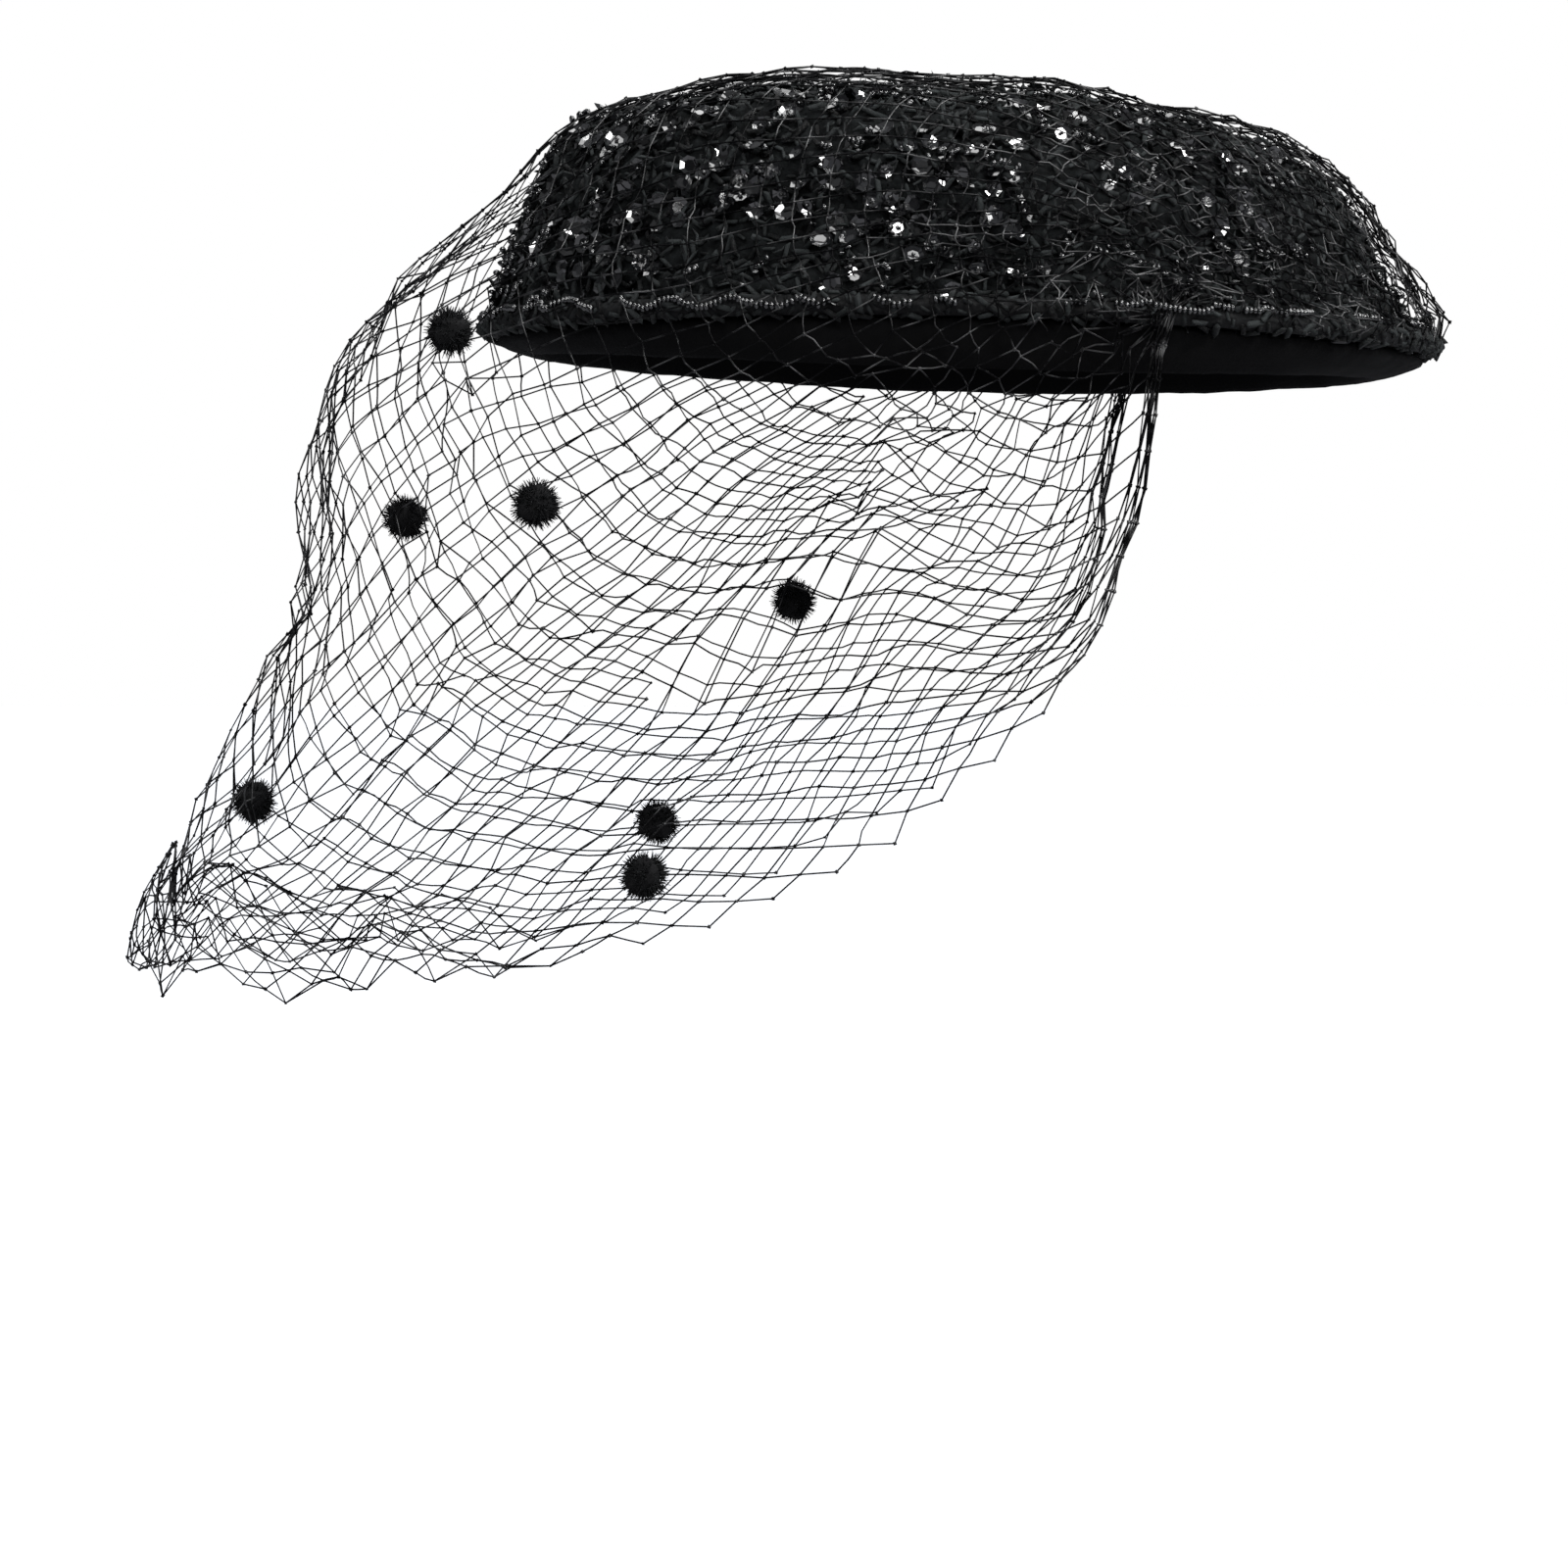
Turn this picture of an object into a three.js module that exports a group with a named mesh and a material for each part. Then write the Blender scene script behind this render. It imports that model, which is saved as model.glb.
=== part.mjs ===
// Halo hat: a sequinned pillbox crown on a beaded rim roll, a plain head band under it,
// and a dotted net veil drawn over the crown and down in front of the face.
//
// Millimetres, +Z up. The face looks toward -Y and the wearer's left is +X. The origin is
// the middle of the head opening. A turn is measured round the vertical axis from the
// front: 0 is the front, +90 degrees the wearer's left and 180 the back.

import * as THREE from 'three';
import { ParametricGeometry } from 'three/addons/geometries/ParametricGeometry.js';

// Driving dimensions
const crownWall = 3;
const veilWall = 1;
const pieceGap = 0.35; // left between pieces that touch
const ovalPower = 2.15; // 2 is an ellipse, more is a squarer oval

const crownSectors = 48;
const crownRows = 15;
const ringSectors = 60; // round the roll and the band
const veilSectorsPerRow = 2; // between neighbouring rows of the hanging net's table
const veilRows = 22;

// Ovals from the peak of the crown down to its hem. Front, side and back are distances
// from the axis, and the three heights are those of the same oval at its front, at either
// side and at its back.
const crownPeak = 51.3;
const crownOvals = [
  { at: 'top middle', front: 22, side: 19, back: 20, frontZ: 53.3, sideZ: 51.8, backZ: 48.9 },
  { at: 'top', front: 44, side: 38, back: 40, frontZ: 52.5, sideZ: 51, backZ: 45.8 },
  { at: 'top edge', front: 63, side: 55, back: 57, frontZ: 49.8, sideZ: 48.8, backZ: 40.6 },
  { at: 'corner', front: 72, side: 64.4, back: 65.4, frontZ: 46, sideZ: 45, backZ: 35.4 },
  { at: 'shoulder', front: 75.4, side: 68.3, back: 70.7, frontZ: 41.6, sideZ: 40.2, backZ: 30.4 },
  { at: 'upper wall', front: 78.3, side: 72, back: 74.5, frontZ: 33.6, sideZ: 32, backZ: 24 },
  { at: 'wall', front: 81.8, side: 76, back: 76, frontZ: 22.6, sideZ: 22.2, backZ: 16.6 },
  { at: 'flare', front: 84.1, side: 78.6, back: 79.8, frontZ: 15.3, sideZ: 15.8, backZ: 11.4 },
  { at: 'hem', front: 85.8, side: 80.8, back: 84, frontZ: 10.7, sideZ: 11.6, backZ: 6.8 },
];

// The roll's centre line and half its section
const rollOval = { front: 86.8, side: 81.8, back: 86.6, frontZ: 8.4, sideZ: 9.3, backZ: 4.4 };
const rollHalfWidth = 2.2;
const rollHalfHeight = 1.9;
const rollSides = 10;

// The band's section, corner by corner: out under the roll, in to the head, up inside the
// crown and back down its wall.
const bandOvals = [
  { at: 'tip top', front: 86.2, side: 81.2, back: 85.8, frontZ: 6.1, sideZ: 7, backZ: 2.1 },
  { at: 'tip under', front: 85.9, side: 80.9, back: 85.5, frontZ: 4.8, sideZ: 4.8, backZ: 0.8 },
  { at: 'under', front: 83.2, side: 80.2, back: 81.4, frontZ: 3.7, sideZ: 0.9, backZ: -0.7 },
  { at: 'bottom', front: 80.6, side: 78.4, back: 76.6, frontZ: 2.9, sideZ: -1.9, backZ: -1.8 },
  { at: 'inner low', front: 79.6, side: 77.2, back: 75.2, frontZ: 3.9, sideZ: -1, backZ: -0.8 },
  { at: 'inner top', front: 78.8, side: 73.4, back: 71.2, frontZ: 15, sideZ: 14.9, backZ: 15 },
  { at: 'outer top', front: 80.6, side: 75.2, back: 72.8, frontZ: 14.7, sideZ: 14.6, backZ: 14.6 },
  { at: 'crease', front: 81.9, side: 77.7, back: 79.2, frontZ: 6.6, sideZ: 7.4, backZ: 4 },
];

// The net over the crown: it rests on the top, leaves the front corner and stands out
// past the rim in front, lies near the wall at the sides and wraps the roll at the back.
const veilPeak = 53.4;
const veilOvals = [
  { at: 'top', front: 44, side: 38, back: 40, frontZ: 55, sideZ: 53.4, backZ: 48.3 },
  { at: 'top edge', front: 65, side: 57, back: 59, frontZ: 52.6, sideZ: 51.6, backZ: 43.2 },
  { at: 'corner', front: 77, side: 69, back: 70.8, frontZ: 46.6, sideZ: 46, backZ: 36.6 },
  { at: 'over wall', front: 88.5, side: 76, back: 78.8, frontZ: 27.5, sideZ: 32, backZ: 26 },
  { at: 'collar', front: 105, side: 82, back: 85, frontZ: 17.5, sideZ: 18.6, backZ: 14.6 },
  { at: 'rim', front: 116.5, side: 85.8, back: 90.7, frontZ: 0, sideZ: 8.4, backZ: 5 },
];

// The hanging net, a row for each turn from the front to where its edge is gathered: its
// distance from the axis at six levels, and the height of its hem.
const hangLevels = { forehead: 0.2, brow: 0.4, bridge: 0.52, nose: 0.7, lip: 0.82, hem: 1 };
const veilHang = [
  { turn: 0, forehead: 124.5, brow: 121.5, bridge: 132, nose: 137, lip: 149, hem: 153, hemZ: -112 },
  { turn: 14, forehead: 120.5, brow: 118, bridge: 127, nose: 132, lip: 141, hem: 146, hemZ: -112 },
  { turn: 28, forehead: 113, brow: 110, bridge: 115, nose: 117, lip: 121, hem: 124, hemZ: -111 },
  { turn: 40, forehead: 103.5, brow: 101, bridge: 102, nose: 101, lip: 101, hem: 103, hemZ: -108.5 },
  { turn: 50, forehead: 97, brow: 94, bridge: 93, nose: 90.5, lip: 89.5, hem: 89, hemZ: -104 },
  { turn: 62, forehead: 90, brow: 87, bridge: 85, nose: 82, lip: 80.5, hem: 79, hemZ: -97 },
  { turn: 75, forehead: 84.5, brow: 82, bridge: 80.3, nose: 77, lip: 75.8, hem: 74.5, hemZ: -90 },
  { turn: 87, forehead: 83, brow: 81, bridge: 79, nose: 76.5, lip: 75.5, hem: 74.5, hemZ: -79.5 },
  { turn: 99, forehead: 84, brow: 83, bridge: 81.5, nose: 79.3, lip: 78.3, hem: 77.2, hemZ: -68 },
  { turn: 106, forehead: 85.6, brow: 85, bridge: 84, nose: 82.8, lip: 82, hem: 81.2, hemZ: -52 },
  { turn: 110, forehead: 86.8, brow: 86.4, bridge: 86, nose: 85.6, lip: 85.5, hem: 85.5, hemZ: -40 },
  { turn: 112, forehead: 87.5, brow: 87.2, bridge: 87.1, nose: 87.1, lip: 87.2, hem: 87.3, hemZ: -26 },
];
const gatherTurn = veilHang.at(-1).turn; // past this, round the back, the edge is tucked
const gatherEdge = 2; // the turn in which the hem climbs to the tuck
const tuckDepth = 3.2; // how far the tucked edge reaches down the roll
const tuckSectors = 8;
const foldCount = 9; // soft flutes round the hem
const foldDepth = 2.2;
const foldEnd = 117; // the turn by which they have faded out

// Chenille dots: where each sits on the net, by turn and height
const dotRadius = 4.1;
const dots = [
  { turn: 32.5, height: 4 },
  { turn: -25.5, height: -26 },
  { turn: 42.5, height: -25 },
  { turn: -13.5, height: -83.5 },
  { turn: 50, height: -91 },
  { turn: -50, height: -86 },
  { turn: -68.5, height: -42 },
];

const rad = THREE.MathUtils.degToRad;

// A point of an oval at a turn
function ovalPoint(oval, turn) {
  const forward = Math.cos(turn);
  const sideways = Math.sin(turn);
  const reach = forward > 0 ? oval.front : oval.back;
  const radius = (Math.abs(forward / reach) ** ovalPower
    + Math.abs(sideways / oval.side) ** ovalPower) ** (-1 / ovalPower);
  const mean = (oval.frontZ + oval.backZ + 2 * oval.sideZ) / 4;
  const tilt = (oval.frontZ - oval.backZ) / 2;
  const bow = (oval.frontZ + oval.backZ - 2 * oval.sideZ) / 4;
  const height = mean + tilt * forward + bow * Math.cos(2 * turn);
  return new THREE.Vector3(radius * sideways, -radius * forward, height);
}

// The line down the crown at a turn, from its peak to its hem
function crownLine(turn) {
  const points = [new THREE.Vector3(0, 0, crownPeak)];
  for (const oval of crownOvals) points.push(ovalPoint(oval, turn));
  return new THREE.CatmullRomCurve3(points);
}

// The hanging net's row at any turn, between those of the table
const hangNames = [...Object.keys(hangLevels), 'hemZ'];
const hangRow = new THREE.CubicInterpolant(
  veilHang.map((row) => rad(row.turn)),
  veilHang.flatMap((row) => hangNames.map((name) => row[name])),
  hangNames.length,
);
hangRow.settings = { endingStart: THREE.ZeroSlopeEnding, endingEnd: THREE.ZeroSlopeEnding };

// The line down the net at a turn, from the peak to the hem
function veilLine(turn) {
  const points = [new THREE.Vector3(0, 0, veilPeak)];
  for (const oval of veilOvals) points.push(ovalPoint(oval, turn));
  const rim = points.at(-1);
  const away = Math.acos(Math.cos(turn)); // turn from the front, either way round
  const tucked = away > rad(gatherTurn + gatherEdge / 2);
  const values = hangRow.evaluate(away);
  const hemZ = tucked ? rim.z - tuckDepth : values.at(-1);
  const fade = Math.max(0, Math.cos(away * 90 / foldEnd));
  const fold = foldDepth * Math.cos(foldCount * turn) * fade;
  Object.values(hangLevels).forEach((drop, level) => {
    const radius = tucked ? Math.hypot(rim.x, rim.y) : values[level] + drop * fold;
    const height = THREE.MathUtils.lerp(rim.z, hemZ, drop);
    points.push(new THREE.Vector3(radius * Math.sin(turn), -radius * Math.cos(turn), height));
  });
  return new THREE.CatmullRomCurve3(points);
}

// The outward direction of the surface that a family of lines sweeps
function outward(line, turn, along) {
  if (along === 0) return new THREE.Vector3(0, 0, 1);
  const step = 0.01; // radians round, and a share of the line down
  const round = line(turn + step).getPoint(along).sub(line(turn - step).getPoint(along));
  const down = line(turn).getPoint(Math.min(1, along + step))
    .sub(line(turn).getPoint(along - step));
  return round.cross(down).negate().normalize();
}

// Turns all the way round, evenly apart
function evenTurns(count) {
  return Array.from({ length: count }, (_, index) => 2 * Math.PI * index / count);
}

// Turns all the way round that lie close together where the table's rows do
function veilTurns() {
  const left = [];
  for (let row = 1; row < veilHang.length; row += 1) {
    for (let step = 0; step < veilSectorsPerRow; step += 1) {
      const share = step / veilSectorsPerRow;
      left.push(THREE.MathUtils.lerp(veilHang[row - 1].turn, veilHang[row].turn, share));
    }
  }
  left.push(gatherTurn);
  for (let step = 0; step < tuckSectors; step += 1) {
    left.push(THREE.MathUtils.lerp(gatherTurn + gatherEdge, 180, step / tuckSectors));
  }
  const right = left.slice(1).reverse().map((turn) => 360 - turn);
  return [...left, 180, ...right].map(rad);
}

// A closed shell under a family of lines: down its outside, across the hem and back up
// its inside
function shellGeometry(line, wall, rows, turns) {
  const steps = 2 * rows + 1;
  const surface = (u, v, target) => {
    const row = Math.round(v * steps);
    const inside = row > rows;
    const along = (inside ? steps - row : row) / rows;
    const turn = -turns[Math.round(u * turns.length) % turns.length];
    target.copy(line(turn).getPoint(along));
    if (inside) target.addScaledVector(outward(line, turn, along), -wall);
  };
  return new ParametricGeometry(surface, turns.length, steps);
}

// A closed ring whose section's corners are given by cornerPoint
function ringGeometry(cornerPoint, corners, turns) {
  const surface = (u, v, target) => {
    const turn = -turns[Math.round(u * turns.length) % turns.length];
    target.copy(cornerPoint(Math.round(v * corners) % corners, turn));
  };
  return new ParametricGeometry(surface, turns.length, corners);
}

function rollCorner(corner, turn) {
  const angle = -2 * Math.PI * corner / rollSides;
  const centre = ovalPoint(rollOval, turn);
  const away = new THREE.Vector3(Math.sin(turn), -Math.cos(turn), 0);
  centre.addScaledVector(away, rollHalfWidth * Math.cos(angle));
  centre.z += rollHalfHeight * Math.sin(angle);
  return centre;
}

function bandCorner(corner, turn) {
  return ovalPoint(bandOvals[corner], turn);
}

// Where a dot's centre lies: on the facet of the net's outside at its turn and height,
// standing off by its radius
function dotCentre({ turn, height }) {
  const line = veilLine(rad(turn));
  let row = 1;
  while (line.getPoint(row / veilRows).z > height) row += 1;
  const above = line.getPoint((row - 1) / veilRows);
  const below = line.getPoint(row / veilRows);
  const share = (above.z - height) / (above.z - below.z);
  const direction = outward(veilLine, rad(turn), (row - 1 + share) / veilRows);
  return above.lerp(below, share).addScaledVector(direction, dotRadius + pieceGap);
}

// Materials: everything is black, and the finishes differ
const sequinnedCloth = { color: 0x101013, roughness: 0.42, metalness: 0 };
const beadedRoll = { color: 0x0d0d10, roughness: 0.38, metalness: 0 };
const bandCloth = { color: 0x0b0a0c, roughness: 0.92, metalness: 0 };
const netThread = { color: 0x131318, roughness: 0.35, metalness: 0 };
const chenille = { color: 0x08080a, roughness: 0.96, metalness: 0 };

function namedMesh(name, geometry, material) {
  const mesh = new THREE.Mesh(geometry, new THREE.MeshStandardMaterial(material));
  mesh.name = name;
  return mesh;
}

function crown() {
  const turns = evenTurns(crownSectors);
  return namedMesh('crown', shellGeometry(crownLine, crownWall, crownRows, turns), sequinnedCloth);
}

function rimRoll() {
  const turns = evenTurns(ringSectors);
  return namedMesh('rim_roll', ringGeometry(rollCorner, rollSides, turns), beadedRoll);
}

function headBand() {
  const turns = evenTurns(ringSectors);
  return namedMesh('head_band', ringGeometry(bandCorner, bandOvals.length, turns), bandCloth);
}

function veil() {
  return namedMesh('veil', shellGeometry(veilLine, veilWall, veilRows, veilTurns()), netThread);
}

function dot(place, index) {
  const ball = new THREE.IcosahedronGeometry(dotRadius, 1);
  const mesh = namedMesh(`dot_0${index + 1}`, ball, chenille);
  mesh.position.copy(dotCentre(place));
  return mesh;
}

const hat = new THREE.Group();
hat.add(crown(), rimRoll(), headBand(), veil(), ...dots.map(dot));

export default hat;
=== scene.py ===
import bpy
import bmesh
import math
import numpy as np
from mathutils import Matrix, Vector, noise
from mathutils.bvhtree import BVHTree


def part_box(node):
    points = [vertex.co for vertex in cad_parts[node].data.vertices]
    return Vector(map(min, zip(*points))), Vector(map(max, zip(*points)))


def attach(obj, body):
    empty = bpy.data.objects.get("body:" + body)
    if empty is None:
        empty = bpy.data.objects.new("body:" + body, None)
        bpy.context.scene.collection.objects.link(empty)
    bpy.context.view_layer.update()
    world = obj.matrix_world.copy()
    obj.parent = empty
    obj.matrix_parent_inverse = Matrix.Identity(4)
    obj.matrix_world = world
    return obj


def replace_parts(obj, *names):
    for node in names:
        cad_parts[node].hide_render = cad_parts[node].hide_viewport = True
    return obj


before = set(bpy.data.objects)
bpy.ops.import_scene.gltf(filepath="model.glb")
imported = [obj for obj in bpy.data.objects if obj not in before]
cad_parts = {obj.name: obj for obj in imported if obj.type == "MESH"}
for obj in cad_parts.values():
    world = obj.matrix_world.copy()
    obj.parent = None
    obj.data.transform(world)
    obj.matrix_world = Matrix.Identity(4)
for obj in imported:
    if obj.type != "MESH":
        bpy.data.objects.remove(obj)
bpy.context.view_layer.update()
scene = bpy.context.scene
rng = np.random.default_rng(1957)
noise.seed_set(1957)    # noise_vector takes its offsets from this
print("frame loaded")

cameraSetup = {
    "target": (0, -0.03287, -0.07669),
    "distance": 1.4,
    "elevation": 1.5,
    "lens": 172.5,
}


def linked(name, data):
    item = bpy.data.objects.new(name, data)
    scene.collection.objects.link(item)
    return item


def aim(item, place, way):
    item.location = place
    item.rotation_mode = "QUATERNION"
    item.rotation_quaternion = way.to_track_quat("-Z", "Y")


def addCamera(setup):
    data = bpy.data.cameras.new("sideCamera")
    data.lens = setup["lens"]
    data.sensor_width = 36
    data.clip_start = 0.05
    data.clip_end = 20
    rise = math.radians(setup["elevation"])
    back = Vector((math.cos(rise), 0, math.sin(rise)))
    camera = linked("sideCamera", data)
    aim(camera, Vector(setup["target"]) + back * setup["distance"], -back)
    scene.camera = camera


addCamera(cameraSetup)
scene.view_settings.view_transform = "Standard"

studio = {
    "floorHeight": -0.3,  # about where a display head's base would stand
    "floorSize": 30.0,
    "floorColour": (0.9, 0.9, 0.9, 1),
    "floorCast": (0.16, 0.16, 0.17, 1),  # what the floor throws back on the hat
    "seenColour": (1.0, 1.0, 1.0, 1),
    "lightColour": (0.94, 0.96, 1.0, 1),
    "brightening": (0.15, 0.95),  # the room is dim at eye level and bright overhead
    "lowStrength": 0.3,
    "highStrength": 1.9,
    "glossShare": 0.12,  # how much of the room shows in gloss
    "softboxes": {  # place, size and watts
        "keySoftbox": ((1.2, -0.7, 1.0), 0.3, 6),
        "topSoftbox": ((-0.2, 0.2, 1.6), 1.5, 18),
    },
    "sparkDistance": 1.9,
    "sparkAim": (0, 0, 0.02),
    # small lamps that pick out the sequins: azimuth, elevation, size and watts
    "sparkLamps": (
        (-26, 34, 0.26, 3), (-1, 32, 0.30, 7), (17, 29, 0.24, 4), (24, 12, 0.36, 9),
        (48, 54, 0.40, 15), (72, 32, 0.46, 24),
    ),
}


def setValues(tree, node, values):
    # a node's settings and inputs by name: an input takes a value or another node's output
    for key, value in values.items():
        if hasattr(node, key):
            setattr(node, key, value)
        elif isinstance(value, bpy.types.NodeSocket):
            tree.links.new(value, node.inputs[key.replace("_", " ")])
        else:
            node.inputs[key.replace("_", " ")].default_value = value


def addNode(tree, kind, **values):
    node = tree.nodes.new(kind)
    setValues(tree, node, values)
    return node


def shaderMaterial(name, **values):
    material = bpy.data.materials.new(name)
    material.use_nodes = True
    tree = material.node_tree
    shader = tree.nodes["Principled BSDF"]
    setValues(tree, shader, values)
    return material, tree, shader


def addFloor(plan):
    bm = bmesh.new()
    bmesh.ops.create_grid(bm, x_segments=1, y_segments=1, size=plan["floorSize"] / 2)
    bmesh.ops.translate(bm, verts=bm.verts, vec=(0, 0, plan["floorHeight"]))
    mesh = bpy.data.meshes.new("studioFloor")
    bm.to_mesh(mesh)
    bm.free()
    material, tree, shader = shaderMaterial("paleFloor", Roughness=0.9)
    path = addNode(tree, "ShaderNodeLightPath")
    tone = addNode(tree, "ShaderNodeMix", data_type="RGBA", Factor=path.outputs["Is Camera Ray"])
    tone.inputs[6].default_value = plan["floorCast"]
    tone.inputs[7].default_value = plan["floorColour"]
    tree.links.new(tone.outputs[2], shader.inputs["Base Color"])
    mesh.materials.append(material)
    linked("studioFloor", mesh)


def addLight(name, place, target, size, watts):
    data = bpy.data.lights.new(name, "AREA")
    data.shape = "DISK"
    data.size = size
    data.energy = watts
    light = linked(name, data)
    aim(light, place, Vector(target) - Vector(place))
    light.visible_camera = False


def addWorld(plan):
    # plain white to the camera; for light, dim at eye level and bright overhead, and faint in gloss
    world = bpy.data.worlds.new("paleStudio")
    world.use_nodes = True
    tree = world.node_tree
    light = tree.nodes["Background"]
    light.inputs["Color"].default_value = plan["lightColour"]
    place = addNode(tree, "ShaderNodeTexCoord")
    split = addNode(tree, "ShaderNodeSeparateXYZ", Vector=place.outputs["Generated"])
    low, high = plan["brightening"]
    height = addNode(
        tree, "ShaderNodeMapRange", interpolation_type="SMOOTHSTEP", Value=split.outputs["Z"],
        From_Min=low, From_Max=high, To_Min=plan["lowStrength"], To_Max=plan["highStrength"],
    )
    path = addNode(tree, "ShaderNodeLightPath")
    glossy = path.outputs["Is Glossy Ray"]
    dim = addNode(tree, "ShaderNodeMapRange", Value=glossy, To_Min=1.0, To_Max=plan["glossShare"])
    level = addNode(tree, "ShaderNodeMath", operation="MULTIPLY")
    seen = addNode(tree, "ShaderNodeBackground", Color=plan["seenColour"])
    mix = addNode(tree, "ShaderNodeMixShader", Fac=path.outputs["Is Camera Ray"])
    link = tree.links.new
    link(height.outputs["Result"], level.inputs[0])
    link(dim.outputs["Result"], level.inputs[1])
    link(level.outputs[0], light.inputs["Strength"])
    link(light.outputs[0], mix.inputs[1])
    link(seen.outputs[0], mix.inputs[2])
    link(mix.outputs[0], tree.nodes["World Output"].inputs["Surface"])
    scene.world = world


addWorld(studio)
addFloor(studio)
for name, (place, size, watts) in studio["softboxes"].items():
    addLight(name, place, (0, 0, 0), size, watts)
for number, (azimuth, elevation, size, watts) in enumerate(studio["sparkLamps"], 1):
    rise, turn = math.radians(elevation), math.radians(azimuth)
    way = Vector((math.cos(rise) * math.cos(turn), math.cos(rise) * math.sin(turn), math.sin(rise)))
    addLight("sparkLamp" + str(number), way * studio["sparkDistance"], studio["sparkAim"], size, watts)
print("camera, floor and lights placed")


def newPiece(name, mesh, material):
    piece = linked(name, mesh)
    mesh.materials.clear()
    mesh.materials.append(material)
    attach(piece, "root")
    return piece


def meshFromBmesh(name, bm, smooth=True):
    mesh = bpy.data.meshes.new(name)
    bm.to_mesh(mesh)
    bm.free()
    for face in mesh.polygons:
        face.use_smooth = smooth
    return mesh


def triangleCount(mesh):
    return sum(len(face.vertices) - 2 for face in mesh.polygons)


def appliedMesh(piece, name):
    evaluated = piece.evaluated_get(bpy.context.evaluated_depsgraph_get())
    mesh = bpy.data.meshes.new_from_object(evaluated)
    mesh.name = name
    return mesh


def copiesTree(source):
    # one copy of the source mesh on every point, turned and sized by the point's attributes
    tree = bpy.data.node_groups.new("copiesOfPoints", "GeometryNodeTree")
    for side in ("INPUT", "OUTPUT"):
        tree.interface.new_socket(name="Geometry", in_out=side, socket_type="NodeSocketGeometry")
    points = addNode(tree, "NodeGroupInput")
    shape = addNode(tree, "GeometryNodeObjectInfo", Object=source)
    turn = addNode(tree, "GeometryNodeInputNamedAttribute", data_type="QUATERNION", Name="turn")
    size = addNode(tree, "GeometryNodeInputNamedAttribute", data_type="FLOAT", Name="size")
    copies = addNode(
        tree, "GeometryNodeInstanceOnPoints", Points=points.outputs[0],
        Instance=shape.outputs["Geometry"], Rotation=turn.outputs["Attribute"],
        Scale=size.outputs["Attribute"],
    )
    real = addNode(tree, "GeometryNodeRealizeInstances", Geometry=copies.outputs["Instances"])
    addNode(tree, "NodeGroupOutput", Geometry=real.outputs["Geometry"])
    return tree


def addPointData(cloud, name, kind, values):
    data = cloud.attributes.new(name, kind, "POINT")
    data.data.foreach_set("value", np.asarray(values, np.float32).ravel())


def copiesMesh(name, shapeBm, places, turns, sizeRange, tinted=False, smooth=True):
    source = linked(name + "Shape", meshFromBmesh(name + "Shape", shapeBm, smooth))
    cloud = bpy.data.meshes.new(name + "Points")
    cloud.vertices.add(len(places))
    cloud.vertices.foreach_set("co", np.asarray(places, np.float32).ravel())
    addPointData(cloud, "turn", "QUATERNION", turns)
    addPointData(cloud, "size", "FLOAT", rng.uniform(*sizeRange, len(places)))
    if tinted:
        addPointData(cloud, "tint", "FLOAT", rng.random(len(places)))
    holder = linked(name + "Points", cloud)
    holder.modifiers.new("copies", "NODES").node_group = copiesTree(source)
    mesh = appliedMesh(holder, name)
    for spent in (holder, source):
        bpy.data.objects.remove(spent)
    for left in ("turn", "size"):
        if left in mesh.attributes:
            mesh.attributes.remove(mesh.attributes[left])
    for face in mesh.polygons:
        face.use_smooth = smooth
    return mesh


def addCopies(name, shapeBm, places, turns, sizeRange, material, smooth=True):
    mesh = copiesMesh(name, shapeBm, places, turns, sizeRange, tinted=True, smooth=smooth)
    newPiece(name, mesh, material)
    print(name + ":", len(places), "triangles", triangleCount(mesh))


def treeOf(*meshes):
    # a ray tree of one or more meshes, for laying pieces on them
    points, faces = [], []
    for mesh in meshes:
        first = len(points)
        points += [vertex.co.copy() for vertex in mesh.vertices]
        faces += [[first + k for k in face.vertices] for face in mesh.polygons]
    return BVHTree.FromPolygons(points, faces)


def groupTree(name, inputs, outputs):
    tree = bpy.data.node_groups.new(name, "ShaderNodeTree")
    for side, sockets in (("INPUT", inputs), ("OUTPUT", outputs)):
        for label, kind in sockets.items():
            tree.interface.new_socket(name=label, in_out=side, socket_type="NodeSocket" + kind)
    return tree, tree.nodes.new("NodeGroupInput").outputs


def fibreGroup():
    # cloth grain: a fine fibre height and a slow mottling mask
    tree, given = groupTree(
        "clothGrain",
        inputs={"Vector": "Vector", "Grain": "Float", "Mottle": "Float"},
        outputs={"Height": "Float", "Mask": "Float"},
    )
    fine, slow = (
        addNode(
            tree, "ShaderNodeTexNoise", Vector=given["Vector"], Scale=given[scale],
            Detail=detail, Roughness=rough,
        )
        for scale, detail, rough in (("Grain", 4.0, 0.65), ("Mottle", 3.0, 0.55))
    )
    addNode(tree, "NodeGroupOutput", Height=fine.outputs["Fac"], Mask=slow.outputs["Fac"])
    return tree


def tintGroup():
    # picks between two colours with a mask spread over its useful middle
    tree, given = groupTree(
        "tintBetween",
        inputs={"Mask": "Float", "Dark": "Color", "Light": "Color"},
        outputs={"Color": "Color", "Spread": "Float"},
    )
    spread = addNode(tree, "ShaderNodeMapRange", Value=given["Mask"], From_Min=0.32, From_Max=0.68)
    mix = addNode(tree, "ShaderNodeMix", data_type="RGBA", Factor=spread.outputs["Result"])
    tree.links.new(given["Dark"], mix.inputs[6])
    tree.links.new(given["Light"], mix.inputs[7])
    addNode(tree, "NodeGroupOutput", Color=mix.outputs[2], Spread=spread.outputs["Result"])
    return tree


clothGrain = fibreGroup()
tintBetween = tintGroup()


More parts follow.
